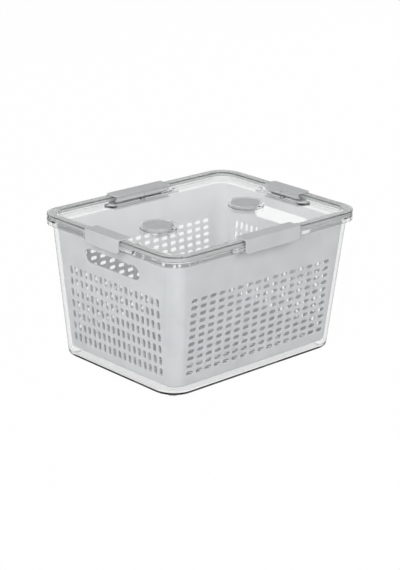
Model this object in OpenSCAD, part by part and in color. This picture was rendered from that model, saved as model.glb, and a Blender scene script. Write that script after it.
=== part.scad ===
// Potato storage bin: clear bin, perforated basket, clear lid with a seal, four side latches, two vent caps.
// Millimetres. X runs along the long sides, Z is up, and the origin is the centre of the base on the table.

/* [Overall] */
// Length over the rim
rim_l = 320; // [270:1:384]
// Width over the rim
rim_w = 251; // [201:1:301]
// Height of the lid's rim above the table
rim_h = 185; // [155:1:222]
// Corner radius of the rim
rim_r = 27; // [24:1:32]

/* [Bin] */
// Thickness of the bin's wall
wall_t = 2.2; // [1.8:0.1:2.6]
// Thickness of the bin's floor
floor_t = 2.6; // [2:0.1:4]
// How far the walls lean out, in mm for each mm of height
lean = 0.078; // [0.04:0.002:0.09]
// Rim edge to the outside of the short walls, at the flange
inset_l = 2.9; // [2.7:0.1:4]
// Rim edge to the outside of the long walls, at the flange
inset_w = 4.5; // [3:0.1:5]
// Corner radius of the bin's walls
bin_r = 31; // [28:1:32]
// Radius of the bin's lower edge
bin_edge_r = 4; // [2:0.5:6]
// Thickness of the flange round the mouth
flange_t = 2.2; // [1.8:0.1:3]
// Height of the turned-down lip at the flange's edge
lip_h = 7.2; // [6:0.1:9]
// Thickness of the lip
lip_t = 2; // [1.6:0.1:2.2]
// Height of the moulded feet
foot_h = 1.2; // [0.8:0.1:3]
// Diameter of the moulded feet
foot_d = 14; // [8:1:20]
// Bin edge to the centre of a foot
foot_inset = 16; // [14:1:30]

/* [Basket] */
// Thickness of the basket's wall and floor
basket_t = 2.2; // [1.8:0.1:3]
// Lid's rim down to the basket's top edge
basket_drop = 17; // [16.8:0.1:30]
// Gap between the basket and the bin at the short walls
basket_gap_l = 6.7; // [3:0.1:10]
// Gap between the basket and the bin at the long walls
basket_gap_w = 3.4; // [2:0.1:8]
// Corner radius of the basket
basket_r = 18; // [12:1:19]
// Radius of the basket's lower edge
basket_edge_r = 3; // [1:0.5:5]
// Height of the pegs that the basket stands on
peg_h = 6.6; // [5:0.1:15]
// Diameter of the pegs
peg_d = 12; // [8:1:20]
// Basket wall to the centre of a peg
peg_inset = 34; // [26:1:45]
// Length of a slot
slot_l = 10.4; // [6:0.1:12]
// Width of a slot
slot_w = 5; // [3:0.1:7]
// Spacing of the slots along their length
slot_step_l = 15; // [14:0.1:24]
// Spacing of the slots across their width
slot_step_w = 9.4; // [9:0.1:15]
// Least distance from a slot's centre to the end of the wall
slot_end = 21; // [18:1:30]
// Least height of a slot's centre above the basket's underside
slot_low = 14; // [12:1:30]
// Basket's top edge to the first row in the long walls
row_drop_long = 47; // [40:1:80]
// Basket's top edge to the first row in the short walls
row_drop_short = 51; // [46:1:80]
// Length of the hand hole
hand_l = 100; // [80:1:120]
// Height of the hand hole
hand_h = 18; // [14:1:22]
// Basket's top edge to the middle of the hand hole
hand_drop = 23; // [18:1:26]

/* [Lid] */
// Thickness of the rim and the panel
lid_t = 2.2; // [1.8:0.1:2.4]
// Thickness of the skirt and of the wall round the recess
lid_wall_t = 2; // [1.6:0.1:2.2]
// Width of the rim, from its edge to the recess
rim_band = 11.1; // [10.6:0.1:12]
// Depth of the recess below the rim
recess_h = 7.5; // [7:0.1:9]
// Corner radius of the recess
recess_r = 22; // [21:1:28]
// Skirt of the lid above the bin's flange
skirt_gap = 0.3; // [0.2:0.05:0.5]
// Height of the lid's skirt
skirt_h = 6; // [5.5:0.1:8]
// Side play of the seal in its channel
seal_play = 0.5; // [0.3:0.1:1]

/* [Latches] */
// Length of the front and back latches
latch_long = 92; // [70:1:120]
// Length of the left and right latches
latch_short = 62; // [50:1:80]
// Thickness of a latch's plate and flap
latch_t = 2; // [1.6:0.1:2.4]
// Depth of the notch in the rim under a latch
notch_h = 0.8; // [0.5:0.1:1.2]
// Chamfer on the rim's edge under a latch, which the flap swings past
notch_edge = 1.2; // [1:0.1:1.6]
// Gap between a latch and the lid under it
latch_gap = 0.3; // [0.2:0.05:0.5]
// Gap between the flap and the rim's edge
flap_gap = 0.8; // [0.7:0.1:1]
// Flap's lower edge below the top of the rim
flap_drop = 17.5; // [16.5:0.1:19]
// Radius of the flap's lower corners
flap_r = 6; // [3:0.5:8]
// How far the hook reaches under the bin's lip
hook_in = 1.2; // [0.8:0.1:1.4]
// Rim edge to the hinge axis
hinge_in = 14.2; // [13.8:0.1:14.6]
// Hinge axis below the top of the rim
hinge_drop = 5.8; // [5.5:0.1:6.2]
// Radius of the hinge barrel
barrel_r = 2.2; // [2:0.1:2.4]
// Radius of the hinge pins
pin_r = 1.3; // [1:0.1:1.5]
// Running clearance round a hinge pin
pin_play = 0.08; // [0.05:0.01:0.1]
// Thickness of a hinge lug
lug_t = 3.6; // [3:0.1:4.4]
// Gap between the barrel's end and its lug
lug_gap = 0.4; // [0.2:0.1:0.6]
// Depth of a hinge trough below the panel
trough_h = 4.3; // [4:0.1:4.6]
// Rim edge to the inner edge of a trough
trough_in = 24.6; // [24:0.1:28]
// Width of the slope at a trough's inner edge
trough_slope = 5; // [4:0.5:6]
// How far a trough runs past its latch
trough_past = 9; // [6:0.5:12]

/* [Vents] */
// Centre of the lid to a vent, along the length
vent_x = 75; // [50:1:80]
// Centre of the lid to a vent, across the width
vent_y = -4; // [-20:1:20]
// Outer radius of a vent's ring
ring_r = 23.2; // [22:0.1:28]
// Thickness of the ring
ring_t = 2.4; // [1.6:0.1:3]
// Height of the ring above the panel
ring_h = 4.3; // [3:0.1:5]
// Gap between the cap and the ring
cap_gap = 1.2; // [0.5:0.1:2]
// Height of the cap above the panel
cap_h = 4; // [3:0.1:5]
// Depth of the dished middle of the cap
dish_h = 1.2; // [0.5:0.1:1.5]
// Radius of the dished middle
dish_r = 15; // [10:0.5:16]
// Centre of the cap to its straight cut
cap_cut = 15.4; // [13:0.1:17]
// Direction that the straight cut faces, when the vent is open
cap_turn = -55; // [-180:1:180]
// Radius of the cap's stem
stem_r = 3; // [2:0.1:4]
// Running clearance round the stem
stem_play = 0.08; // [0.05:0.01:0.1]
// Radius of the snap collar under the panel
collar_r = 4.3; // [3.6:0.1:5.5]
// Height of the snap collar
collar_h = 1.4; // [1:0.1:2]
// Radius of the air hole
air_r = 2; // [1:0.1:2.2]
// Gap between the cap and the panel
cap_lift = 0.3; // [0.2:0.05:0.5]

/* [Hidden] */
$fn = 64;
// Side count of a circle that is blended into a wall
blend_fn = 32;
// Angle between the slices of a rounded lower edge
edge_step = 22.5;
// Plain edge round the slots of a panel
panel_edge = 0.5;
// How far a slotted panel's faces sit inside the wall's faces
panel_set = 0.05;
// Angle of the leaning walls from upright
lean_angle = atan(lean);
// Thickness of the thin slices that a wall is blended from
thin = 0.1;
// Width that a slot's straight sides lose, so that they cross its round ends
slot_cross = 0.06;
// How far a cutter runs past the face that it opens
past = 1;
// Rise of a latch's slanted catch for each mm inward
catch_slope = 2.15;
// How deep the catch is rooted in the flap
catch_root = 0.5;
// Radius of a latch's outer corner and of its rolled lower edge, as shares of its thickness
corner_share = 0.7;
curl_share = 0.95;
// How far a hinge lug stands round the barrel's own clearance
lug_margin = 0.65;

flange_z = rim_h - skirt_h - skirt_gap;
lip_z = flange_z - lip_h;
bin_l = rim_l - 2 * inset_l;
bin_w = rim_w - 2 * inset_w;
foot_x = bin_l / 2 - lean * (flange_z - foot_h) - foot_inset;
foot_y = bin_w / 2 - lean * (flange_z - foot_h) - foot_inset;

basket_top = rim_h - basket_drop;
basket_z = foot_h + floor_t + peg_h;
basket_l = bin_l - 2 * (wall_t + basket_gap_l + lean * (flange_z - basket_top));
basket_w = bin_w - 2 * (wall_t + basket_gap_w + lean * (flange_z - basket_top));
basket_base_l = basket_l - 2 * lean * (basket_top - basket_z);
basket_base_w = basket_w - 2 * lean * (basket_top - basket_z);
cols_long = floor((basket_base_l - 2 * slot_end) / slot_step_l) + 1;
cols_short = floor((basket_base_w - 2 * slot_end) / slot_step_w) + 1;
rows_long = floor((basket_top - row_drop_long - basket_z - slot_low) / slot_step_w) + 1;
rows_short = floor((basket_top - row_drop_short - basket_z - slot_low) / slot_step_l) + 1;
cols_floor = floor((basket_base_l - 2 * slot_end) / slot_step_l) + 1;
rows_floor = floor((basket_base_w - 2 * slot_end) / (2 * slot_step_w)) + 1;

panel_z = rim_h - recess_h;
recess_l = rim_l - 2 * rim_band;
recess_w = rim_w - 2 * rim_band;
plug_in = rim_band - lid_wall_t;
hinge_z = rim_h - hinge_drop;
notch_z = rim_h - notch_h;
plate_z = notch_z + latch_gap;
plate_in = hinge_in + barrel_r;
flap_z = rim_h - flap_drop;
trough_z = panel_z - trough_h;
catch_in = hook_in + latch_gap;
catch_h = catch_slope * catch_in;
ring_in = ring_r - ring_t;
cap_r = ring_in - cap_gap;
stem_z = panel_z - lid_t - cap_lift - collar_h;

// The four latches: turn of the side, reach from the centre, length of the latch
SIDES = [
    [0, rim_w / 2, latch_long],
    [180, rim_w / 2, latch_long],
    [-90, rim_l / 2, latch_short],
    [90, rim_l / 2, latch_short]
];

// Flat rectangle with rounded corners
module outline(l, w, r) {
    square([l - 2 * r, w], center = true);
    square([l, w - 2 * r], center = true);
    for (x = [-1, 1], y = [-1, 1]) {
        translate([x * (l / 2 - r), y * (w / 2 - r)]) circle(r);
    }
}

// Upright plate with a rounded outline
module plate(l, w, r, z, h) {
    translate([0, 0, z]) linear_extrude(h) outline(l, w, r);
}

// Band between the rim's outline set in by a and the one set in by b
module rim_ring(a, b, ra, rb, z, h) {
    translate([0, 0, z]) linear_extrude(h) difference() {
        outline(rim_l - 2 * a, rim_w - 2 * a, ra);
        outline(rim_l - 2 * b, rim_w - 2 * b, rb);
    }
}

// Leaning box: size l by w at its top and narrower below, with a rounded lower edge and an upright part up
module leaning(l, w, r, base, top, edge, up = thin) {
    hull() {
        plate(l, w, r, top, up, $fn = blend_fn);
        for (a = [0 : edge_step : 90]) {
            tuck = edge * (1 - sin(a));
            z = base + edge * (1 - cos(a));
            inset = lean * (top - base - edge) + tuck;
            plate(l - 2 * inset, w - 2 * inset, r - tuck, z, thin, $fn = blend_fn);
        }
    }
}

// Places children, drawn inward of the front edge of the rim, at the side found by the turn
module at_side(turn, reach) {
    rotate([0, 0, turn]) translate([0, -reach, 0]) children();
}

// Runs a section drawn in (inward, up) along the side
module along(length) {
    translate([-length / 2, 0, 0]) rotate([90, 0, 90]) linear_extrude(length) children();
}

// Slot with round ends, whose straight sides cross its ends a hair inside their widest point
module slot(l, w) {
    square([l - w, w - slot_cross], center = true);
    for (x = [-1, 1]) {
        translate([x * (l - w) / 2, 0]) circle(w / 2);
    }
}

// Grid of slots, with its first row at height zero and the others below it
module slot_grid(cols, rows, step_x, step_y) {
    for (i = [0 : cols - 1], j = [0 : rows - 1]) {
        translate([(i - (cols - 1) / 2) * step_x, -j * step_y]) children();
    }
}

// Groove in the lip that a latch's hook sits under, in (inward, up)
module catch_cut(length) {
    along(length) polygon([
        [-past, lip_z - past],
        [-past, lip_z + catch_h],
        [0, lip_z + catch_h],
        [catch_in, lip_z],
        [catch_in, lip_z - past]
    ]);
}

module bin() {
    color([0.9, 0.92, 0.94, 0.35]) difference() {
        union() {
            leaning(bin_l, bin_w, bin_r, foot_h, flange_z - thin, bin_edge_r);
            plate(rim_l, rim_w, rim_r, flange_z - flange_t, flange_t);
            rim_ring(0, lip_t, rim_r, rim_r - lip_t, lip_z, lip_h);
            for (x = [-1, 1], y = [-1, 1]) {
                translate([x * foot_x, y * foot_y, 0]) cylinder(d = foot_d, h = foot_h + floor_t / 2);
            }
        }
        leaning(bin_l - 2 * wall_t, bin_w - 2 * wall_t, bin_r - wall_t, foot_h + floor_t, flange_z, bin_edge_r);
        for (s = SIDES) {
            at_side(s[0], s[1]) catch_cut(s[2] + 2 * past);
        }
    }
}

// Stands a flat drawing, (along, up the slope) from the top edge, in a wall, from w0 to w1 outward of its face
module in_wall(turn, half, w0, w1) {
    at_side(turn, half) translate([0, 0, basket_top]) rotate([90 + lean_angle, 0, 0]) {
        translate([0, 0, w0]) linear_extrude(w1 - w0) children();
    }
}

// Flat area that a grid of slots takes up, grown by g
module grid_area(cols, rows, step_x, step_y, size_x, size_y, g) {
    l = (cols - 1) * step_x + size_x + 2 * g;
    h = (rows - 1) * step_y + size_y + 2 * g;
    translate([-l / 2, size_y / 2 + g - h]) square([l, h]);
}

// Slotted panel let into a wall: a window to cut, or the panel that fills it
module long_panel(window) {
    g = window ? panel_edge : 2 * panel_edge;
    translate([0, -row_drop_long / cos(lean_angle)]) difference() {
        grid_area(cols_long, rows_long, slot_step_l, slot_step_w, slot_l, slot_w, g);
        if (!window) {
            slot_grid(cols_long, rows_long, slot_step_l, slot_step_w) slot(slot_l, slot_w);
        }
    }
}

// The same in a short wall, with its slots upright
module short_panel(window) {
    g = window ? panel_edge : 2 * panel_edge;
    translate([0, -row_drop_short / cos(lean_angle)]) difference() {
        grid_area(cols_short, rows_short, slot_step_w, slot_step_l, slot_w, slot_l, g);
        if (!window) {
            slot_grid(cols_short, rows_short, slot_step_w, slot_step_l) rotate(90) slot(slot_l, slot_w);
        }
    }
}

// The same in the floor
module floor_panel(window) {
    g = window ? panel_edge : 2 * panel_edge;
    translate([0, (rows_floor - 1) * slot_step_w]) difference() {
        grid_area(cols_floor, rows_floor, slot_step_l, 2 * slot_step_w, slot_l, slot_w, g);
        if (!window) {
            slot_grid(cols_floor, rows_floor, slot_step_l, 2 * slot_step_w) slot(slot_l, slot_w);
        }
    }
}

// Basket's walls and floor, with windows where the slotted panels go and the two hand holes
module basket_shell() {
    difference() {
        leaning(basket_l, basket_w, basket_r, basket_z, basket_top - thin, basket_edge_r);
        leaning(basket_l - 2 * basket_t, basket_w - 2 * basket_t, basket_r - basket_t,
            basket_z + basket_t, basket_top - thin, basket_edge_r, past);
        for (turn = [0, 180]) {
            in_wall(turn, basket_w / 2, -basket_t - past, past) long_panel(true);
        }
        for (turn = [-90, 90]) {
            in_wall(turn, basket_l / 2, -basket_t - past, past) {
                short_panel(true);
                translate([0, -hand_drop]) slot(hand_l, hand_h);
            }
        }
        translate([0, 0, basket_z - past]) linear_extrude(basket_t + 2 * past) floor_panel(true);
    }
}

module basket() {
    peg_x = basket_base_l / 2 - peg_inset;
    peg_y = basket_base_w / 2 - peg_inset;
    inner = panel_set - basket_t * cos(lean_angle);
    color([0.8, 0.81, 0.82]) {
        basket_shell();
        for (turn = [0, 180]) {
            in_wall(turn, basket_w / 2, inner, -panel_set) long_panel(false);
        }
        for (turn = [-90, 90]) {
            in_wall(turn, basket_l / 2, inner, -panel_set) short_panel(false);
        }
        translate([0, 0, basket_z + panel_set]) linear_extrude(basket_t - 2 * panel_set) floor_panel(false);
        for (x = [-1, 1], y = [-1, 1]) {
            translate([x * peg_x, y * peg_y, basket_z - peg_h]) cylinder(d = peg_d, h = peg_h + basket_t / 2);
        }
    }
}

// Plan of a hinge trough, wide at the recess wall and narrow inside, grown by g
module trough_plan(length, g) {
    wide = length / 2 + trough_past + g;
    narrow = length / 2 + past + g;
    linear_extrude(rim_h) polygon([
        [-wide, plug_in], [wide, plug_in], [wide, rim_band],
        [narrow, trough_in + g], [-narrow, trough_in + g], [-wide, rim_band]
    ]);
}

// Solid that a hinge trough is sunk into
module trough_body(length) {
    slope_out = lid_t * trough_slope / trough_h + lid_t;
    intersection() {
        along(length + 4 * trough_past) polygon([
            [plug_in, panel_z],
            [plug_in, trough_z - lid_t],
            [trough_in - trough_slope + lid_t, trough_z - lid_t],
            [trough_in + slope_out, panel_z]
        ]);
        trough_plan(length, slope_out);
    }
}

// Hollow of a hinge trough
module trough_cut(length) {
    intersection() {
        along(length + 4 * trough_past) polygon([
            [rim_band, panel_z + past],
            [rim_band, trough_z],
            [trough_in - trough_slope, trough_z],
            [trough_in, panel_z],
            [trough_in, panel_z + past]
        ]);
        trough_plan(length, 0);
    }
}

// Shallow notch in the rim under a latch, with a chamfer at the rim's edge, in (inward, up)
module notch_cut(length) {
    along(length) polygon([
        [-past, notch_z - notch_edge - past],
        [notch_edge, notch_z],
        [rim_band + past, notch_z],
        [rim_band + past, rim_h + past],
        [-past, rim_h + past]
    ]);
}

// Half the length of the part of a latch that lies between its lugs
function barrel_half(length) = length / 2 - lug_t - lug_gap;

// Pair of bored lugs that carry a latch's pins
module lugs(length) {
    lug_r = barrel_r + latch_gap + lug_margin;
    lug_low = hinge_z - (trough_z - lid_t / 2);
    for (side = [-1, 1]) {
        translate([side * (length / 2 - lug_t / 2), 0, 0]) along(lug_t) difference() {
            union() {
                translate([hinge_in, hinge_z]) circle(lug_r);
                translate([plug_in + lid_wall_t / 2, hinge_z - lug_low]) {
                    square([hinge_in + lug_r - plug_in - lid_wall_t / 2, lug_low]);
                    square([hinge_in - plug_in - lid_wall_t / 2, lug_low + lug_r]);
                }
            }
            translate([hinge_in, hinge_z]) circle(pin_r + pin_play);
        }
    }
}

// Clear ring round a vent, open inside
module vent_ring() {
    difference() {
        cylinder(r = ring_r, h = ring_h + lid_t / 2);
        translate([0, 0, lid_t / 2]) cylinder(r = ring_in, h = ring_h + past);
    }
}

// Stem bore and air hole under a vent
module vent_holes() {
    cylinder(r = stem_r + stem_play, h = lid_t + 2 * past);
    rotate([0, 0, cap_turn]) translate([cap_cut + air_r, 0, 0]) cylinder(r = air_r, h = lid_t + 2 * past);
}

module lid() {
    color([0.9, 0.92, 0.94, 0.35]) {
        difference() {
            union() {
                rim_ring(0, rim_band, rim_r, recess_r, rim_h - lid_t, lid_t);
                rim_ring(0, lid_wall_t, rim_r, rim_r - lid_wall_t, rim_h - skirt_h, skirt_h);
                rim_ring(plug_in, rim_band, recess_r + lid_wall_t, recess_r, panel_z - lid_t, recess_h + lid_t);
                plate(recess_l + lid_wall_t, recess_w + lid_wall_t, recess_r, panel_z - lid_t, lid_t);
                for (s = SIDES) {
                    at_side(s[0], s[1]) trough_body(s[2]);
                }
                for (x = [-1, 1]) {
                    translate([x * vent_x, vent_y, panel_z - lid_t / 2]) vent_ring();
                }
            }
            for (s = SIDES) {
                at_side(s[0], s[1]) {
                    trough_cut(s[2]);
                    notch_cut(s[2] + 2 * flap_gap);
                }
            }
            for (x = [-1, 1]) {
                translate([x * vent_x, vent_y, panel_z - lid_t - past]) vent_holes();
            }
        }
        for (s = SIDES) {
            at_side(s[0], s[1]) lugs(s[2]);
        }
    }
}

module lid_seal() {
    color([0.93, 0.93, 0.92, 0.8]) {
        rim_ring(lid_wall_t + seal_play, plug_in - seal_play, rim_r - lid_wall_t - seal_play,
            recess_r + lid_wall_t + seal_play, flange_z + skirt_gap, skirt_h - lid_t);
    }
}

// Section of a latch's plate, flap and hook, in (inward, up)
module latch_section() {
    outer = -flap_gap - latch_t;
    corner_r = corner_share * latch_t;
    curl_r = curl_share * latch_t;
    plate_top = plate_z + latch_t;
    translate([outer + corner_r, plate_z]) square([plate_in - outer - corner_r, latch_t]);
    translate([outer, flap_z + curl_r]) square([latch_t, plate_top - corner_r - flap_z - curl_r]);
    translate([outer + corner_r, plate_top - corner_r]) circle(corner_r);
    translate([outer + curl_r, flap_z + curl_r]) circle(curl_r);
    polygon([
        [outer + curl_r, flap_z + curl_r],
        [-flap_gap - catch_root, lip_z + catch_h - latch_gap],
        [-flap_gap, lip_z + catch_h - latch_gap],
        [hook_in, lip_z - latch_gap],
        [hook_in + latch_gap / 2, flap_z + curl_r]
    ]);
}

// Face outline of the flap, with rounded lower corners, run inward through the latch
module flap_face(length) {
    translate([0, trough_in, 0]) rotate([90, 0, 0]) linear_extrude(2 * trough_in) {
        translate([-length / 2 + flap_r, flap_z]) square([length - 2 * flap_r, rim_h]);
        translate([-length / 2, flap_z + flap_r]) square([length, rim_h]);
        for (side = [-1, 1]) {
            translate([side * (length / 2 - flap_r), flap_z + flap_r]) circle(flap_r);
        }
    }
}

// Latch at the front edge, with its hinge pins on the ends of the barrel
module latch(length) {
    half = barrel_half(length);
    pin_half = length / 2 - lug_gap;
    intersection() {
        along(length) latch_section();
        flap_face(length);
    }
    along(2 * half) {
        translate([hinge_in, hinge_z]) circle(barrel_r);
        translate([hinge_in, hinge_z]) square([barrel_r, plate_z + latch_t / 2 - hinge_z]);
    }
    along(2 * pin_half) translate([hinge_in, hinge_z]) circle(pin_r);
}

module latch_front() {
    color([0.72, 0.73, 0.74]) at_side(0, rim_w / 2) latch(latch_long);
}

module latch_back() {
    color([0.72, 0.73, 0.74]) at_side(180, rim_w / 2) latch(latch_long);
}

module latch_left() {
    color([0.72, 0.73, 0.74]) at_side(-90, rim_l / 2) latch(latch_short);
}

module latch_right() {
    color([0.72, 0.73, 0.74]) at_side(90, rim_l / 2) latch(latch_short);
}

// Turning cap with a dished top, a straight cut, and a stem that snaps through the panel
module vent_cap() {
    sphere_r = (dish_r * dish_r + dish_h * dish_h) / (2 * dish_h);
    difference() {
        translate([0, 0, panel_z + cap_lift]) cylinder(r = cap_r, h = cap_h - cap_lift);
        translate([0, 0, panel_z + cap_h - dish_h + sphere_r]) sphere(sphere_r);
        rotate([0, 0, cap_turn]) translate([cap_cut, -cap_r, panel_z]) {
            cube([cap_r, 2 * cap_r, cap_h + past]);
        }
    }
    translate([0, 0, stem_z]) cylinder(r = stem_r, h = panel_z + cap_h / 2 - stem_z);
    translate([0, 0, stem_z]) cylinder(r = collar_r, h = collar_h);
}

module vent_cap_left() {
    color([0.7, 0.71, 0.72]) translate([-vent_x, vent_y, 0]) vent_cap();
}

module vent_cap_right() {
    color([0.7, 0.71, 0.72]) translate([vent_x, vent_y, 0]) vent_cap();
}

bin();
basket();
lid();
lid_seal();
latch_front();
latch_back();
latch_left();
latch_right();
vent_cap_left();
vent_cap_right();
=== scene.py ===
import math

import bmesh
import bpy
from mathutils import Matrix, Vector


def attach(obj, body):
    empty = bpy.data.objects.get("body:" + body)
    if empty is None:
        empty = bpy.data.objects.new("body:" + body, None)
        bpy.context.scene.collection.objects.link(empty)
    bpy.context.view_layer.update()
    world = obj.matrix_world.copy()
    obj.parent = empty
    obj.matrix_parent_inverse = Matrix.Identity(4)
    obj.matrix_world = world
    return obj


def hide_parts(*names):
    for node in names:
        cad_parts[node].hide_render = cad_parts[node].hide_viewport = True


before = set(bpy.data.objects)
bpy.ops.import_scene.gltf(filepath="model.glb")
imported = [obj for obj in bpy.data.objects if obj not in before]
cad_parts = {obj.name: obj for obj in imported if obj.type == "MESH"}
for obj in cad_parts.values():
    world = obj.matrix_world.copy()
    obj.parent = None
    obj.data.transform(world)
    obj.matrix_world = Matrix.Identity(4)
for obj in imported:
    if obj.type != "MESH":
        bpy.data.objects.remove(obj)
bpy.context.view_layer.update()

shot = {  # where the photograph was taken from, in degrees and metres
    "azimuth": -43.41,
    "elevation": 19.37,
    "distance": 2.247,
    "aimRight": 0.00035,
    "aimUp": 0.08053,
    "roll": -1.066,
    "lens": 110.34,
    "sensor": 36,
    "farthest": 100,
}


def placeCamera():
    az = math.radians(shot["azimuth"])
    el = math.radians(shot["elevation"])
    roll = math.radians(shot["roll"])
    back = Vector((math.sin(az) * math.cos(el), -math.cos(az) * math.cos(el), math.sin(el)))
    right = Vector((math.cos(az), math.sin(az), 0))
    up = back.cross(right)
    place = back * shot["distance"] + right * shot["aimRight"] + up * shot["aimUp"]
    rolledRight = right * math.cos(roll) - up * math.sin(roll)
    rolledUp = right * math.sin(roll) + up * math.cos(roll)
    data = bpy.data.cameras.new("photoCamera")
    data.sensor_fit = "VERTICAL"
    data.sensor_height = shot["sensor"]
    data.lens = shot["lens"]
    data.clip_end = shot["farthest"]
    camera = bpy.data.objects.new("photoCamera", data)
    bpy.context.collection.objects.link(camera)
    turned = Matrix((rolledRight, rolledUp, back)).transposed().to_4x4()
    camera.matrix_world = Matrix.Translation(place) @ turned
    bpy.context.scene.camera = camera


class Wire:  # one socket of a material, which adds and multiplies like a number
    def __init__(self, shade, socket):
        self.shade = shade
        self.socket = socket

    def math(self, operation, *values):
        return self.shade.node("ShaderNodeMath", {"operation": operation}, *values)

    def __add__(self, other):
        return self.math("ADD", self, other)

    def __radd__(self, other):
        return self.math("ADD", other, self)

    def __sub__(self, other):
        return self.math("SUBTRACT", self, other)

    def __rsub__(self, other):
        return self.math("SUBTRACT", other, self)

    def __mul__(self, other):
        return self.math("MULTIPLY", self, other)

    def __rmul__(self, other):
        return self.math("MULTIPLY", other, self)


class Shade:  # a material or world being wired up
    def __init__(self, name, owner=None):
        self.owner = owner or bpy.data.materials.new(name)
        self.owner.use_nodes = True
        self.tree = self.owner.node_tree
        self.tree.nodes.clear()

    def node(self, kind, settings, *values, out=0, **named):
        made = self.tree.nodes.new(kind)
        for key, value in settings.items():
            if key == "stops":
                ramp = made.color_ramp
                for stop, (place, colour) in zip(ramp.elements, value):
                    stop.position = place
                    stop.color = colour
            else:
                setattr(made, key, value)
        for key, value in [*enumerate(values), *named.items()]:
            socket = made.inputs[key.replace("_", " ") if isinstance(key, str) else key]
            if isinstance(value, Wire):
                self.tree.links.new(value.socket, socket)
            elif value is not None:
                socket.default_value = value
        return Wire(self, made.outputs[out]) if made.outputs else None

    def surface(self, shader, kind="ShaderNodeOutputMaterial"):
        self.node(kind, {}, shader)
        return self.owner


def grain(shade, scale, detail):
    where = shade.node("ShaderNodeTexCoord", {}, out="Object")
    return shade.node("ShaderNodeTexNoise", {}, Vector=where, Scale=scale, Detail=detail)


def ray(shade, kind):  # 1 for one kind of ray, and 0 for the others
    return shade.node("ShaderNodeLightPath", {}, out="Is " + kind + " Ray")


clearLook = {  # clear polished plastic
    "tint": (0.98, 0.985, 0.985, 1),
    "index": 1.5,
    "roughness": 0.02,
    "ripple": 0.002,  # slight unevenness of the moulded faces
    "rippleDepth": 0.001,
    "rippleScale": 22,
    "rippleDetail": 2,
}


def clearPlastic(name):
    shade = Shade(name)
    ripple = grain(shade, clearLook["rippleScale"], clearLook["rippleDetail"])
    bump = shade.node(
        "ShaderNodeBump", {}, Strength=clearLook["ripple"], Distance=clearLook["rippleDepth"], Height=ripple)
    glass = shade.node(
        "ShaderNodeBsdfPrincipled", {},
        Base_Color=clearLook["tint"], Roughness=clearLook["roughness"], IOR=clearLook["index"],
        Transmission_Weight=1.0, Normal=bump,
    )
    fromLamp = ray(shade, "Shadow")
    passing = fromLamp.math("MAXIMUM", fromLamp, ray(shade, "Diffuse"))
    window = shade.node("ShaderNodeBsdfTransparent", {}, clearLook["tint"])  # lets light in to the basket
    return shade.surface(shade.node("ShaderNodeMixShader", {}, passing, glass, window))


satinLooks = {  # name: (colour, roughness, specular level, mottle, depth of the fine grain)
    "basketPlastic": ((0.655, 0.665, 0.675), 0.48, 0.4, 0.05, 0.15),
    "latchPlastic": ((0.58, 0.59, 0.597), 0.5, 0.25, 0.04, 0.12),
    "capPlastic": ((0.54, 0.548, 0.555), 0.5, 0.2, 0.04, 0.12),
}
satinGrain = {
    "cloud": (35, 4),  # scale and detail of the mottle
    "cloudEnds": (0.3, 0.7),
    "pebble": (1800, 2),
    "pebbleHeight": 0.0002,
    "swing": 0.1,  # how far the roughness varies with the mottle
}


def satinPlastic(name):
    colour, roughness, level, mottle, pebble = satinLooks[name]
    shade = Shade(name)
    cloud = grain(shade, *satinGrain["cloud"])
    fine = grain(shade, *satinGrain["pebble"])
    low, high = satinGrain["cloudEnds"]
    dark = (*(part * (1 - mottle) for part in colour), 1)
    light = (*(part * (1 + mottle) for part in colour), 1)
    tint = shade.node("ShaderNodeValToRGB", {"stops": [(low, dark), (high, light)]}, cloud)
    bump = shade.node("ShaderNodeBump", {}, Strength=pebble, Distance=satinGrain["pebbleHeight"], Height=fine)
    return shade.surface(shade.node(
        "ShaderNodeBsdfPrincipled", {},
        Base_Color=tint, Roughness=roughness + (cloud - 0.5) * satinGrain["swing"],
        Specular_IOR_Level=level, Normal=bump,
    ))


sealLook = {  # translucent silicone
    "tint": (0.86, 0.87, 0.87, 1),
    "roughness": 0.4,
    "cloud": (60, 2),  # scale and detail
    "swing": 0.1,
    "index": 1.41,
    "passes": 0.5,  # share of the light that it lets through
}


def sealRubber():
    shade = Shade("sealRubber")
    cloud = grain(shade, *sealLook["cloud"])
    return shade.surface(shade.node(
        "ShaderNodeBsdfPrincipled", {},
        Base_Color=sealLook["tint"], Roughness=sealLook["roughness"] + (cloud - 0.5) * sealLook["swing"],
        IOR=sealLook["index"], Transmission_Weight=sealLook["passes"],
    ))


def dress(name, material):
    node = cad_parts[name]
    node.data.materials.clear()
    node.data.materials.append(material)
    for face in node.data.polygons:
        face.material_index = 0


studio = {
    "floorSize": 60,
    "floorPaint": 0.6,  # its tone where it only takes light from the lamps
    "white": 0.99,  # how much of the floor's colour is plain white to the eye
    "mirroredFloor": 0.3,  # floor's brightness in reflections, which draws the edges of the clear walls
    "skyTop": 1.0,
    "skyLow": 0.8,
    "skyEnd": 0.75,  # where the sky reaches its top tone, from 0 at the horizon to 1 overhead
    "fill": 0.14,  # strength of the sky's light
    "ceiling": 0.12,  # dark studio ceiling, which draws the lines along clear edges
    "ceilingEnds": (0.5, 0.85),
    "lampAim": 0.09,  # height of the point that the lamps face, in metres
}


def backdropRays(shade):  # 1 for the rays that should meet the plain white backdrop
    direct, mirrored, passed = (ray(shade, kind) for kind in ("Camera", "Glossy", "Transmission"))
    return direct.math("MAXIMUM", direct.math("MAXIMUM", direct, mirrored), passed)


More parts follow.
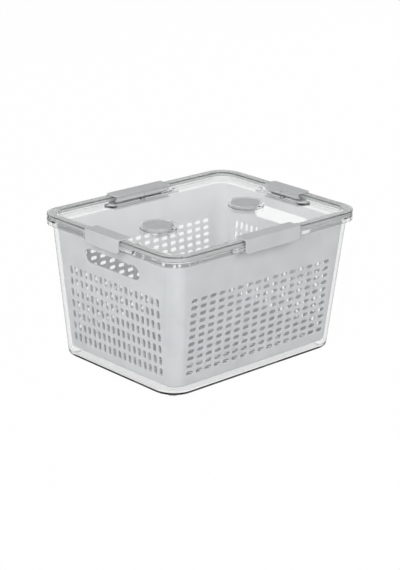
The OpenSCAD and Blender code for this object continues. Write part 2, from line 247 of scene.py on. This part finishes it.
def makeFloor():
    bpy.ops.mesh.primitive_plane_add(size=studio["floorSize"], location=(0, 0, 0))
    floor = bpy.context.object
    floor.name = "studioFloor"
    shade = Shade("studioFloor")
    paint = shade.node("ShaderNodeBsdfDiffuse", {}, (*[studio["floorPaint"]] * 3, 1))
    glow = shade.node("ShaderNodeEmission", {}, (1, 1, 1, 1), 1.0)
    dim = shade.node("ShaderNodeEmission", {}, (1, 1, 1, 1), studio["mirroredFloor"])
    # Rays that went through the clear plastic count as glossy too, and those are to see plain white.
    mirrored = ray(shade, "Glossy") * (1 - ray(shade, "Transmission"))
    share = backdropRays(shade) * studio["white"]
    seen = shade.node("ShaderNodeMixShader", {}, mirrored, glow, dim)
    floor.data.materials.append(shade.surface(shade.node("ShaderNodeMixShader", {}, share, paint, seen)))


def makeSky():
    world = bpy.data.worlds.new("studioSky")
    bpy.context.scene.world = world
    shade = Shade("studioSky", world)
    way = shade.node("ShaderNodeTexCoord", {}, out="Generated")
    height = shade.node("ShaderNodeSeparateXYZ", {}, way, out=2)
    low = studio["skyLow"]
    top = studio["skyTop"]
    band = shade.node(
        "ShaderNodeValToRGB",
        {"stops": [(0.0, (low, low, low, 1)), (studio["skyEnd"], (top, top, top, 1))]},
        height,
    )
    light = shade.node("ShaderNodeBackground", {}, band, studio["fill"])
    ceiling = studio["ceiling"]
    start, end = studio["ceilingEnds"]
    backdrop = shade.node(
        "ShaderNodeValToRGB",
        {"stops": [(start, (1, 1, 1, 1)), (end, (ceiling, ceiling, ceiling, 1))]},
        height,
    )
    white = shade.node("ShaderNodeBackground", {}, backdrop, 1.0)
    mixed = shade.node("ShaderNodeMixShader", {}, backdropRays(shade), light, white)
    shade.surface(mixed, "ShaderNodeOutputWorld")


cards = {  # dark cards beside the bin, which only clear and glossy surfaces pick up
    "reach": 0.62,  # from the middle of the bin, across the photograph's view
    "size": (1.3, 0.3),  # low, so that the lid does not mirror them
    "tone": 0.02,
}


def makeCards():
    az = math.radians(shot["azimuth"])
    wide, high = cards["size"]
    tone = cards["tone"]
    for side in (-1, 1):
        bpy.ops.mesh.primitive_plane_add(size=1)
        card = bpy.context.object
        card.name = "darkCardRight" if side > 0 else "darkCardLeft"
        card.scale = (wide, high, 1)
        card.rotation_euler = (math.pi / 2, 0, az + math.pi / 2)
        reach = side * cards["reach"]
        card.location = (reach * math.cos(az), reach * math.sin(az), high / 2)
        shade = Shade("darkCard")
        paint = shade.node("ShaderNodeBsdfDiffuse", {}, (tone, tone, tone, 1))
        card.data.materials.append(shade.surface(paint))
        card.visible_camera = False
        card.visible_diffuse = False
        card.visible_shadow = False


lamps = {  # name: (direction from the bin, distance, size, power)
    "leftSoftbox": ((-0.9, -0.35, 0.43), 2.2, 1.5, 38),
    "frontSoftbox": ((0.35, -0.95, 0.45), 2.2, 1.5, 24),
    "rightSoftbox": ((0.95, 0.3, 0.4), 2.2, 1.5, 12),
    "backSoftbox": ((-0.3, 0.95, 0.4), 2.2, 1.5, 12),
}


def makeLamps():
    middle = Vector((0, 0, studio["lampAim"]))
    for name, (way, distance, size, power) in lamps.items():
        data = bpy.data.lights.new(name, "AREA")
        data.shape = "SQUARE"
        data.size = size
        data.energy = power
        lamp = bpy.data.objects.new(name, data)
        bpy.context.collection.objects.link(lamp)
        lamp.location = middle + Vector(way).normalized() * distance
        lamp.rotation_euler = Vector(way).to_track_quat("Z", "Y").to_euler()
        lamp.visible_glossy = False  # the clear lid would mirror a lamp as a white square
        lamp.visible_transmission = False


bpy.context.scene.view_settings.view_transform = "Standard"
placeCamera()
makeFloor()
makeSky()
makeCards()
makeLamps()
print("studio ready")

meshing = {
    "overrun": 1,  # how far a cutter runs past the face that it opens, in mm
    "near": 0.01,  # slack when vertices are picked by their place, in mm
    "cornerNear": 0.001,  # the same for the corners of a fresh block, in metres
    "bevelAngle": 40,  # in degrees
    "smoothAngle": 38,
    "flatAngle": 0.5,  # faces within this of each other are joined up
    "mergeWithin": 0.00001,  # in metres
}


def millimetres(*values):
    return tuple(value / 1000 for value in values)


def editing(piece):  # goes into edit mode on one piece only
    bpy.ops.object.select_all(action="DESELECT")
    piece.select_set(True)
    bpy.context.view_layer.objects.active = piece
    bpy.ops.object.mode_set(mode="EDIT")
    bpy.ops.mesh.select_mode(type="VERT")


def pick(chosen):  # selects the vertices that a test says yes to
    mesh = bmesh.from_edit_mesh(bpy.context.object.data)
    for vertex in mesh.verts:
        vertex.select = bool(chosen(vertex))
    mesh.select_flush_mode()
    bmesh.update_edit_mesh(bpy.context.object.data)


def added(name, primitive, **size):
    bpy.ops.object.select_all(action="DESELECT")
    primitive(**size)
    piece = bpy.context.object
    piece.name = name
    return piece


def outlineCorner(ring, sx, sy):
    length, width, radius, height = ring
    return Vector((sx * (length / 2 - radius), sy * (width / 2 - radius), height)) / 1000


def fitCorners(old, new):  # resizes the loop that was just extruded, corner by corner
    corners = {}
    for vertex in bmesh.from_edit_mesh(bpy.context.object.data).verts:
        if vertex.select:
            corners.setdefault((vertex.co.x > 0, vertex.co.y > 0), set()).add(vertex.index)
    for (right, back), corner in corners.items():
        sx = 1 if right else -1
        sy = 1 if back else -1
        pick(lambda vertex: vertex.index in corner)
        start = outlineCorner(old, sx, sy)
        ratio = new[2] / old[2]
        bpy.ops.transform.resize(value=(ratio, ratio, 1), center_override=start)
        bpy.ops.transform.translate(value=outlineCorner(new, sx, sy) - start)
    loop = set().union(*corners.values())
    pick(lambda vertex: vertex.index in loop)


def loft(name, rings, segments):  # rings of length, width, corner radius and height, in mm
    length, width, radius, height = rings[0]
    piece = added(name, bpy.ops.mesh.primitive_plane_add, size=1 / 1000)
    editing(piece)
    bpy.ops.mesh.select_all(action="SELECT")
    bpy.ops.transform.resize(value=(length, width, 1), center_override=(0, 0, 0))
    bpy.ops.transform.translate(value=millimetres(0, 0, height))
    bpy.ops.mesh.bevel(offset=radius / 1000, segments=segments, affect="VERTICES")
    bpy.ops.mesh.select_all(action="SELECT")
    for old, new in zip(rings, rings[1:]):
        bpy.ops.mesh.extrude_region_move()
        fitCorners(old, new)
    bpy.ops.mesh.select_all(action="SELECT")
    bpy.ops.mesh.normals_make_consistent(inside=False)
    bpy.ops.object.mode_set(mode="OBJECT")
    return piece


def roundedFoot(length, width, radius, base, top, edge, lean, steps):
    # The rings of a leaning box's rounded lower edge, from its floor up.
    rings = []
    for step in range(steps + 1):
        angle = math.pi / 2 * step / steps
        tuck = edge * (1 - math.sin(angle))
        inset = lean * (top - base - edge) + tuck
        height = base + edge * (1 - math.cos(angle))
        rings.append((length - 2 * inset, width - 2 * inset, radius - tuck, height))
    return rings


def combine(piece, tool, operation):  # cuts a tool from a piece, or joins it on, and removes the tool
    cut = piece.modifiers.new(operation.lower(), "BOOLEAN")
    cut.operation = operation
    cut.solver = "MANIFOLD"
    cut.object = tool
    bpy.context.view_layer.objects.active = piece
    bpy.ops.object.modifier_apply(modifier=cut.name)
    bpy.data.objects.remove(tool)


def rod(name, radius, length, place, sides, lying=False):  # upright, or lying along X, in mm
    return added(
        name, bpy.ops.mesh.primitive_cylinder_add, vertices=sides, radius=radius / 1000,
        depth=length / 1000, location=millimetres(*place), rotation=(0, math.pi / 2 if lying else 0, 0))


def rounded(piece, width, segments=3, angle=meshing["bevelAngle"]):  # small rounds on the hard edges
    edge = piece.modifiers.new("softEdge", "BEVEL")
    edge.width = width / 1000
    edge.segments = segments
    edge.limit_method = "ANGLE"
    edge.angle_limit = math.radians(angle)
    edge.miter_outer = "MITER_ARC"
    bpy.context.view_layer.objects.active = piece
    bpy.ops.object.modifier_apply(modifier=edge.name)


def smoothed(piece):  # smooth shading that keeps flat faces flat
    bpy.ops.object.select_all(action="DESELECT")
    piece.select_set(True)
    bpy.context.view_layer.objects.active = piece
    bpy.ops.object.shade_smooth_by_angle(angle=math.radians(meshing["smoothAngle"]))
    weigh = piece.modifiers.new("flatFaces", "WEIGHTED_NORMAL")
    weigh.keep_sharp = True
    bpy.ops.object.modifier_apply(modifier=weigh.name)


def cleaned(name, node):  # merged copy of a CAD node, with the triangles of flat faces joined up
    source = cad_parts[node]
    piece = source.copy()
    piece.data = source.data.copy()
    piece.name = name
    bpy.context.collection.objects.link(piece)
    editing(piece)
    bpy.ops.mesh.select_all(action="SELECT")
    bpy.ops.mesh.remove_doubles(threshold=meshing["mergeWithin"])
    bpy.ops.mesh.dissolve_limited(angle_limit=math.radians(meshing["flatAngle"]))
    bpy.ops.object.mode_set(mode="OBJECT")
    return piece


def finished(piece, node, body, material):
    piece.data.materials.clear()
    piece.data.materials.append(material)
    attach(piece, body)
    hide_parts(node)
    print(piece.name, "made:", len(piece.data.polygons), "faces")
    return piece


binSizes = {  # the clear bin, in mm
    "rim": (320, 251, 27),  # length, width and corner radius of the flange
    "walls": (314.2, 242, 31),  # the same of the walls, just under the flange
    "wallThickness": 2.2,
    "floorThickness": 2.6,
    "lean": 0.078,
    "base": 1.2,
    "flangeTop": 178.7,
    "flangeThickness": 2.2,
    "lipBottom": 171.5,
    "lipThickness": 2,
    "lowerEdge": 4,
    "edgeSteps": 5,
    "footRadius": 7,
    "footSides": 40,
    "footAt": (127.255, 91.155),
    "catchDepth": 1.5,
    "catchHeight": 3.225,
    "softEdge": 0.6,
    "cornerSegments": 12,
}
latchSides = {  # side: (turn in degrees, rim's edge from the middle, length of the latch)
    "front": (0, binSizes["rim"][1] / 2, 92),
    "back": (180, binSizes["rim"][1] / 2, 92),
    "left": (-90, binSizes["rim"][0] / 2, 62),
    "right": (90, binSizes["rim"][0] / 2, 62),
}


def makeBin():
    length, width, radius = binSizes["walls"]
    rimLength, rimWidth, rimRadius = binSizes["rim"]
    wall = binSizes["wallThickness"]
    lip = binSizes["lipThickness"]
    top = binSizes["flangeTop"]
    under = top - binSizes["flangeThickness"]
    lipBottom = binSizes["lipBottom"]
    base = binSizes["base"]
    lean = binSizes["lean"]
    edge = (top, binSizes["lowerEdge"], lean, binSizes["edgeSteps"])
    inside = roundedFoot(
        length - 2 * wall, width - 2 * wall, radius - wall, base + binSizes["floorThickness"], *edge)
    outside = roundedFoot(length, width, radius, base, *edge)
    narrowing = 2 * lean * binSizes["flangeThickness"]
    rings = inside + [
        (length - 2 * wall, width - 2 * wall, radius - wall, top),
        (rimLength, rimWidth, rimRadius, top),
        (rimLength, rimWidth, rimRadius, lipBottom),
        (rimLength - 2 * lip, rimWidth - 2 * lip, rimRadius - lip, lipBottom),
        (rimLength - 2 * lip, rimWidth - 2 * lip, rimRadius - lip, under),
        (length - narrowing, width - narrowing, radius, under),
    ] + outside[::-1]
    shell = loft("clearBin", rings, binSizes["cornerSegments"])
    rounded(shell, binSizes["softEdge"])
    for turn, reach, latchLength in latchSides.values():
        combine(shell, catchCutter(turn, reach, latchLength), "DIFFERENCE")
    footX, footY = binSizes["footAt"]
    for sx in (-1, 1):
        for sy in (-1, 1):
            place = (sx * footX, sy * footY, base)  # from the ground to as far above the bin's base
            foot = rod("foot", binSizes["footRadius"], 2 * base, place, binSizes["footSides"])
            combine(shell, foot, "UNION")
    smoothed(shell)
    return finished(shell, "bin", "bin_body", clear)


def catchCutter(turn, reach, length):  # wedge that clears the lip for a latch's hook
    wedge = added("catchCutter", bpy.ops.mesh.primitive_cube_add, size=1)
    past = meshing["overrun"]
    high = binSizes["catchHeight"]
    depth = binSizes["catchDepth"] * (1 + past / high)
    bottom = binSizes["lipBottom"]
    editing(wedge)
    bpy.ops.mesh.select_all(action="SELECT")
    bpy.ops.transform.resize(
        value=millimetres(length + 2 * past, depth + past, high + past), center_override=(0, 0, 0))
    bpy.ops.transform.translate(value=millimetres(0, -reach + (depth - past) / 2, bottom + (high - past) / 2))
    pick(lambda vertex: vertex.co.z > bottom / 1000 and vertex.co.y > -reach / 1000)
    bpy.ops.transform.translate(value=millimetres(0, -depth, 0))
    bpy.ops.object.mode_set(mode="OBJECT")
    wedge.rotation_euler.z = math.radians(turn)
    bpy.ops.object.transform_apply(location=False, rotation=True, scale=False)
    return wedge


basket = {  # the slotted basket, in mm
    "top": 168,
    "base": 10.4,
    "size": (294.73, 229.13, 18),  # length, width and corner radius at the top edge
    "lowerEdge": 3,
    "edgeSteps": 4,
    "thickness": 2.2,
    "slot": (10.4, 5),  # length and width of a slot
    "stepAlong": 15,  # spacing of the slots along their length
    "stepAcross": 9.4,
    "longGrid": (16, 11, 47),  # columns, rows, and the top edge to the first row
    "shortGrid": (18, 7, 51),
    "floorGrid": (16, 9),  # columns and rows
    "handHole": (100, 18, 23),  # length, height, and the top edge to its middle
    "pegRadius": 6,
    "pegAt": (101.07, 68.27),
    "pegFoot": 3.8,
    "pegInto": 1,  # how far a peg is rooted in the floor
    "pegSides": 32,
    "softEdge": 0.35,
    "topRound": 0.8,
    "topAngle": 70,  # only the square edges at the top are rounded
    "endGap": 0.02,  # short straight left between a slot's round ends
    "slotSegments": 5,
    "holeSegments": 12,
    "cornerSegments": 10,
}


def slotCutter(length, width, segments):  # lies flat across a wall's thickness, flared at both faces
    flare = basket["softEdge"]
    wall = basket["thickness"]
    past = meshing["overrun"]
    radius = min(length, width) / 2 - basket["endGap"]
    wide = (length + 2 * flare, width + 2 * flare, radius + flare)
    narrow = (length, width, radius)
    return loft("slotCutter", [
        (*wide, past),
        (*wide, 0),
        (*narrow, -flare),
        (*narrow, flare - wall),
        (*wide, -wall),
        (*wide, -wall - past),
    ], segments)


def repeated(piece, columns, rows, stepX, stepY):  # grid of copies, from the piece's own row down
    for count, offset in ((columns, (stepX, 0, 0)), (rows, (0, -stepY, 0))):
        array = piece.modifiers.new("array", "ARRAY")
        array.count = count
        array.use_relative_offset = False
        array.use_constant_offset = True
        array.constant_offset_displace = millimetres(*offset)
        bpy.context.view_layer.objects.active = piece
        bpy.ops.object.modifier_apply(modifier=array.name)
    editing(piece)
    bpy.ops.mesh.select_all(action="SELECT")
    bpy.ops.transform.translate(value=millimetres(-(columns - 1) * stepX / 2, 0, 0))
    bpy.ops.object.mode_set(mode="OBJECT")
    return piece


def hungOnWall(cutter, turn, half, down):  # stands a flat cutter in a leaning wall, below its top edge
    lean = math.atan(binSizes["lean"])
    editing(cutter)
    bpy.ops.mesh.select_all(action="SELECT")
    bpy.ops.transform.translate(value=millimetres(0, -down, 0))
    bpy.ops.object.mode_set(mode="OBJECT")
    stand = Matrix.Rotation(math.radians(turn), 4, "Z") @ Matrix.Translation(
        Vector(millimetres(0, -half, basket["top"]))) @ Matrix.Rotation(math.pi / 2 + lean, 4, "X")
    cutter.matrix_world = stand
    bpy.ops.object.transform_apply()
    return cutter


def makeBasket():
    length, width, radius = basket["size"]
    wall = basket["thickness"]
    top = basket["top"]
    base = basket["base"]
    lean = binSizes["lean"]
    edge = (top, basket["lowerEdge"], lean, basket["edgeSteps"])
    inner = (length - 2 * wall, width - 2 * wall, radius - wall)
    rings = roundedFoot(*inner, base + wall, *edge) + [
        (*inner, top),
        (length, width, radius, top),
    ] + roundedFoot(length, width, radius, base, *edge)[::-1]
    shell = loft("slottedBasket", rings, basket["cornerSegments"])
    rounded(shell, basket["topRound"], angle=basket["topAngle"])
    slotLong, slotWide = basket["slot"]
    ends = basket["slotSegments"]
    stepAlong = basket["stepAlong"]
    stepAcross = basket["stepAcross"]
    slope = math.sqrt(1 + lean * lean)
    for turn in (0, 180):
        columns, rows, drop = basket["longGrid"]
        slots = repeated(slotCutter(slotLong, slotWide, ends), columns, rows, stepAlong, stepAcross)
        combine(shell, hungOnWall(slots, turn, width / 2, drop * slope), "DIFFERENCE")
    for turn in (-90, 90):
        columns, rows, drop = basket["shortGrid"]
        slots = repeated(slotCutter(slotWide, slotLong, ends), columns, rows, stepAcross, stepAlong)
        combine(shell, hungOnWall(slots, turn, length / 2, drop * slope), "DIFFERENCE")
        holeLength, holeHeight, holeDrop = basket["handHole"]
        hole = slotCutter(holeLength, holeHeight, basket["holeSegments"])
        combine(shell, hungOnWall(hole, turn, length / 2, holeDrop), "DIFFERENCE")
    columns, rows = basket["floorGrid"]
    slots = repeated(slotCutter(slotLong, slotWide, ends), columns, rows, stepAlong, 2 * stepAcross)
    slots.location = millimetres(0, (rows - 1) * stepAcross, base + wall)
    bpy.ops.object.transform_apply()
    combine(shell, slots, "DIFFERENCE")
    pegX, pegY = basket["pegAt"]
    foot = basket["pegFoot"]
    height = base + basket["pegInto"] - foot
    for sx in (-1, 1):
        for sy in (-1, 1):
            place = (sx * pegX, sy * pegY, foot + height / 2)
            combine(shell, rod("peg", basket["pegRadius"], height, place, basket["pegSides"]), "UNION")
    smoothed(shell)
    return finished(shell, "basket", "basket_body", basketGrey)


def shapedBlock(name, section, half):  # four-sided section of (inward, up), run along a side
    # The section goes round from its lower outer corner: outer low, inner low, inner high, outer high.
    # Its half length is one number, or one for each of those corners.
    block = added(name, bpy.ops.mesh.primitive_cube_add, size=2)
    editing(block)
    halves = half if isinstance(half, tuple) else (half,) * 4
    for (inner, high), corner, reach in zip(((-1, -1), (1, -1), (1, 1), (-1, 1)), section, halves):
        for side in (-1, 1):
            start = Vector((side, inner, high))
            pick(lambda vertex: (vertex.co - start).length < meshing["cornerNear"])
            bpy.ops.transform.translate(value=Vector(millimetres(side * reach, *corner)) - start)
    bpy.ops.mesh.select_all(action="SELECT")
    bpy.ops.mesh.normals_make_consistent(inside=False)
    bpy.ops.object.mode_set(mode="OBJECT")
    return block


def atSide(piece, turn, reach):  # takes a piece drawn inward of the front edge to one of the four sides
    piece.matrix_world = Matrix.Rotation(math.radians(turn), 4, "Z") @ Matrix.Translation(
        (0, -reach / 1000, 0)) @ piece.matrix_world
    bpy.ops.object.select_all(action="DESELECT")
    piece.select_set(True)
    bpy.context.view_layer.objects.active = piece
    bpy.ops.object.transform_apply()
    return piece


lid = {  # the clear lid, in mm
    "rim": binSizes["rim"],
    "rimTop": 185,
    "thickness": 2.2,
    "wall": 2,
    "band": 11.1,  # rim's edge to the recess
    "recessDepth": 7.5,
    "recessRadius": 22,
    "skirt": 6,
    "softEdge": 0.6,
    "cornerSegments": 12,
    "troughDepth": 4.3,
    "troughInner": 24.6,
    "troughSlope": 5,
    "troughPast": 9,  # each end of the trough past the latch, at the recess wall
    "troughPastInner": 1,  # the same at the trough's inner side
    "troughJoin": 0.3,  # how far below the panel's top its blocks end
    "notchDepth": 0.8,
    "notchChamfer": 1.2,
    "notchPast": 0.8,
    "hinge": (14.2, 179.2),  # inward of the rim's edge, and up
    "lugRadius": 3.15,
    "lugThickness": 3.6,
    "lugSegments": 8,
    "boreRadius": 1.38,
    "boreLength": 6,
    "vents": (75, -4),
    "ring": (23.2, 2.4, 4.3),  # outer radius, thickness and height
    "stemBore": 3.08,
    "airHole": 2,  # radius
    "holeLength": 8,  # of the cutters for the stem bores and the air holes
    "airAt": (-55, 17.4),  # direction in degrees, and distance from the vent's middle
    "sides": {"bore": 32, "hole": 40, "ring": 96},  # side counts of the round ones
}


def carveTrough(shell, turn, reach, length):  # hinge trough, sunk into the panel beside the recess wall
    panel = lid["rimTop"] - lid["recessDepth"]
    floor = panel - lid["troughDepth"]
    thick = lid["thickness"]
    band = lid["band"]
    inner = lid["troughInner"]
    slope = lid["troughSlope"]
    join = panel - lid["troughJoin"]
    run = slope / lid["troughDepth"]  # inward, for each mm up
    grown = thick * run + thick
    wide = length / 2 + lid["troughPast"]
    narrow = length / 2 + lid["troughPastInner"]
    past = meshing["overrun"]

    def halfAt(inward, margin):  # half length of the trough's plan
        share = (inward - band) / (inner + margin - band)
        return wide + margin + (narrow - wide) * share

    edge = band - lid["wall"]
    strip = shapedBlock("troughStrip", (
        (edge, floor - thick), (band, floor - thick), (band, join), (edge, join)), wide + grown)
    combine(shell, atSide(strip, turn, reach), "UNION")
    bottomEnd = inner - slope + thick
    topEnd = inner + grown - run * lid["troughJoin"]
    body = shapedBlock("troughBody", (
        (band, floor - thick), (bottomEnd, floor - thick), (topEnd, join), (band, join),
    ), (wide + grown, halfAt(bottomEnd, grown), halfAt(topEnd, grown), wide + grown))
    combine(shell, atSide(body, turn, reach), "UNION")
    openEnd = inner + run * past
    hollow = shapedBlock("troughHollow", (
        (band, floor), (inner - slope, floor), (openEnd, panel + past), (band, panel + past),
    ), (wide, halfAt(inner - slope, 0), halfAt(openEnd, 0), wide))
    combine(shell, atSide(hollow, turn, reach), "DIFFERENCE")


def cutNotch(shell, turn, reach, length):  # shallow seat under a latch, chamfered at the rim's edge
    top = lid["rimTop"]
    seat = top - lid["notchDepth"]
    chamfer = lid["notchChamfer"]
    half = length / 2 + lid["notchPast"]
    past = meshing["overrun"]
    end = lid["band"] + past
    for name, section in (
        ("seat", ((chamfer, seat), (end, seat), (end, top + past), (chamfer, top + past))),
        ("chamfer", (
            (-past, seat - chamfer - past), (chamfer, seat), (chamfer, top + past), (-past, top + past))),
    ):
        combine(shell, atSide(shapedBlock(name, section, half), turn, reach), "DIFFERENCE")


def addLugs(shell, turn, reach, length):  # pair of bored lugs for a latch's pins
    inward, up = lid["hinge"]
    radius = lid["lugRadius"]
    thick = lid["lugThickness"]
    low = lid["rimTop"] - lid["recessDepth"] - lid["troughDepth"] - lid["thickness"] / 2
    back = lid["band"] - lid["wall"] / 2
    front = inward + radius
    high = up + radius
    for side in (-1, 1):
        lug = shapedBlock("lug", ((back, low), (front, low), (front, high), (back, high)), thick / 2)
        editing(lug)
        pick(lambda vertex: vertex.co.z > up / 1000 and vertex.co.y > inward / 1000)
        bpy.ops.mesh.bevel(offset=radius / 1000, segments=lid["lugSegments"], affect="EDGES")
        bpy.ops.object.mode_set(mode="OBJECT")
        bore = rod(
            "bore", lid["boreRadius"], lid["boreLength"], (0, inward, up), lid["sides"]["bore"], lying=True)
        combine(lug, bore, "DIFFERENCE")
        lug.location.x = side * (length - thick) / 2000
        combine(shell, atSide(lug, turn, reach), "UNION")


def addVentRing(shell, x, y):
    radius, thick, high = lid["ring"]
    panel = lid["rimTop"] - lid["recessDepth"]
    low = panel - lid["thickness"] / 2
    ring = rod("ring", radius, panel + high - low, (x, y, (panel + high + low) / 2), lid["sides"]["ring"])
    bpy.ops.object.transform_apply()
    editing(ring)
    pick(lambda vertex: vertex.co.z > panel / 1000)
    bpy.ops.mesh.inset(thickness=thick / 1000)
    bpy.ops.mesh.extrude_region_move(TRANSFORM_OT_translate={"value": millimetres(0, 0, -high)})
    bpy.ops.object.mode_set(mode="OBJECT")
    combine(shell, ring, "UNION")
    way, far = lid["airAt"]
    holes = (
        (x, y, lid["stemBore"]),
        (x + far * math.cos(math.radians(way)), y + far * math.sin(math.radians(way)), lid["airHole"]),
    )
    for holeX, holeY, holeRadius in holes:
        hole = rod("hole", holeRadius, lid["holeLength"], (holeX, holeY, low), lid["sides"]["hole"])
        combine(shell, hole, "DIFFERENCE")


def makeLid():
    length, width, radius = lid["rim"]
    top = lid["rimTop"]
    panel = top - lid["recessDepth"]
    thick = lid["thickness"]
    wall = lid["wall"]
    band = lid["band"]
    recess = (length - 2 * band, width - 2 * band, lid["recessRadius"])
    plug = (recess[0] + 2 * wall, recess[1] + 2 * wall, recess[2] + wall)
    inner = (length - 2 * wall, width - 2 * wall, radius - wall)
    shell = loft("clearLid", [
        (*recess, panel),
        (*recess, top),
        (length, width, radius, top),
        (length, width, radius, top - lid["skirt"]),
        (*inner, top - lid["skirt"]),
        (*inner, top - thick),
        (*plug, top - thick),
        (*plug, panel - thick),
    ], lid["cornerSegments"])
    rounded(shell, lid["softEdge"])
    for turn, reach, latchLength in latchSides.values():
        carveTrough(shell, turn, reach, latchLength)
        cutNotch(shell, turn, reach, latchLength)
        addLugs(shell, turn, reach, latchLength)
    for side in (-1, 1):
        addVentRing(shell, side * lid["vents"][0], lid["vents"][1])
    smoothed(shell)
    return finished(shell, "lid", "lid_body", clear)


latch = {  # one latch, in mm, measured inward from the rim's edge and up
    "thickness": 2,
    "outer": -2.8,
    "inner": 16.4,
    "top": 186.5,
    "bottom": 167.5,
    "corner": (6, 10),  # radius and segments of the flap's lower corners
    "curl": (1.5, 5),  # the same of its rolled lower edge
    "innerRound": (1.2, 4),
    "hook": (1.2, 171.2, 174.425),  # its point, and the top of its slope
    "hookHeel": 0.15,  # how far its underside reaches past its point
    "hookRoot": 0.6,  # how deep it is rooted in the flap
    "barrelRadius": 2.2,
    "pinRadius": 1.3,
    "neck": (11.6, 14.2),
    "neckShort": 4,  # the barrel's ends from the latch's ends
    "pinShort": 0.4,
    "barSides": 32,
    "softEdge": 0.4,
}


def makeLatch(node, body, turn, reach, length):
    half = length / 2
    outer = latch["outer"]
    inner = latch["inner"]
    top = latch["top"]
    bottom = latch["bottom"]
    thick = latch["thickness"]
    near = meshing["near"]
    curl, curlSegments = latch["curl"]
    corner, cornerSegments = latch["corner"]
    innerRound, innerSegments = latch["innerRound"]
    piece = shapedBlock(node + "_smooth", (
        (outer, top - thick), (inner, top - thick), (inner, top), (outer, top)), half)
    editing(piece)
    for side in (-1, 1):
        pick(lambda vertex: vertex.co.y > 0 and vertex.co.x * side > 0)
        bpy.ops.mesh.bevel(offset=innerRound / 1000, segments=innerSegments, affect="EDGES")
    bpy.ops.mesh.select_all(action="SELECT")
    bpy.ops.mesh.bisect(plane_co=millimetres(0, outer + thick, 0), plane_no=(0, 1, 0))
    fold = (outer + thick + near) / 1000
    plateUnder = (top - thick + near) / 1000
    pick(lambda vertex: vertex.co.y < fold and vertex.co.z < plateUnder)
    drop = millimetres(0, 0, bottom - top + thick)
    bpy.ops.mesh.extrude_region_move(TRANSFORM_OT_translate={"value": drop})
    for side in (-1, 1):
        pick(lambda vertex: vertex.co.z < (bottom + near) / 1000 and vertex.co.x * side > 0)
        bpy.ops.mesh.bevel(offset=corner / 1000, segments=cornerSegments, affect="EDGES")
    outerFace = (outer + near) / 1000
    flapTop = (top - thick - near) / 1000
    pick(lambda vertex: vertex.co.y < outerFace and vertex.co.z < flapTop)
    bpy.ops.mesh.bevel(offset=curl / 1000, segments=curlSegments, affect="EDGES")
    bpy.ops.object.mode_set(mode="OBJECT")
    rounded(piece, latch["softEdge"])
    point, low, high = latch["hook"]
    root = outer + thick - latch["hookRoot"]
    heel = point + latch["hookHeel"]
    hook = shapedBlock(
        "hook", ((root, bottom + curl), (heel, bottom + curl), (point, low), (root, high)), half - corner / 2)
    combine(piece, hook, "UNION")
    inward, up = lid["hinge"]
    start, end = latch["neck"]
    barrelHalf = half - latch["neckShort"]
    into = top - thick / 2
    neck = shapedBlock("neck", ((start, up), (end, up), (end, into), (start, into)), barrelHalf)
    combine(piece, neck, "UNION")
    for name, radius, barHalf in (
        ("barrel", latch["barrelRadius"], barrelHalf),
        ("pin", latch["pinRadius"], half - latch["pinShort"]),
    ):
        bar = rod(name, radius, 2 * barHalf, (0, inward, up), latch["barSides"], lying=True)
        combine(piece, bar, "UNION")
    smoothed(piece)
    atSide(piece, turn, reach)
    return finished(piece, node, body, latchGrey)


ventCap = {"softEdge": 0.4, "segments": 2}  # rounds on the turned caps, in mm

clear = clearPlastic("clearPlastic")
basketGrey = satinPlastic("basketPlastic")
latchGrey = satinPlastic("latchPlastic")
capGrey = satinPlastic("capPlastic")
makeBin()
makeBasket()
makeLid()
for side, (turn, reach, latchLength) in latchSides.items():
    makeLatch("latch_" + side, side + "_latch", turn, reach, latchLength)
for node, body in (("vent_cap_left", "left_vent"), ("vent_cap_right", "right_vent")):
    piece = cleaned(node + "_smooth", node)
    rounded(piece, ventCap["softEdge"], ventCap["segments"])
    smoothed(piece)
    finished(piece, node, body, capGrey)
dress("lid_seal", sealRubber())
print("finishes ready")
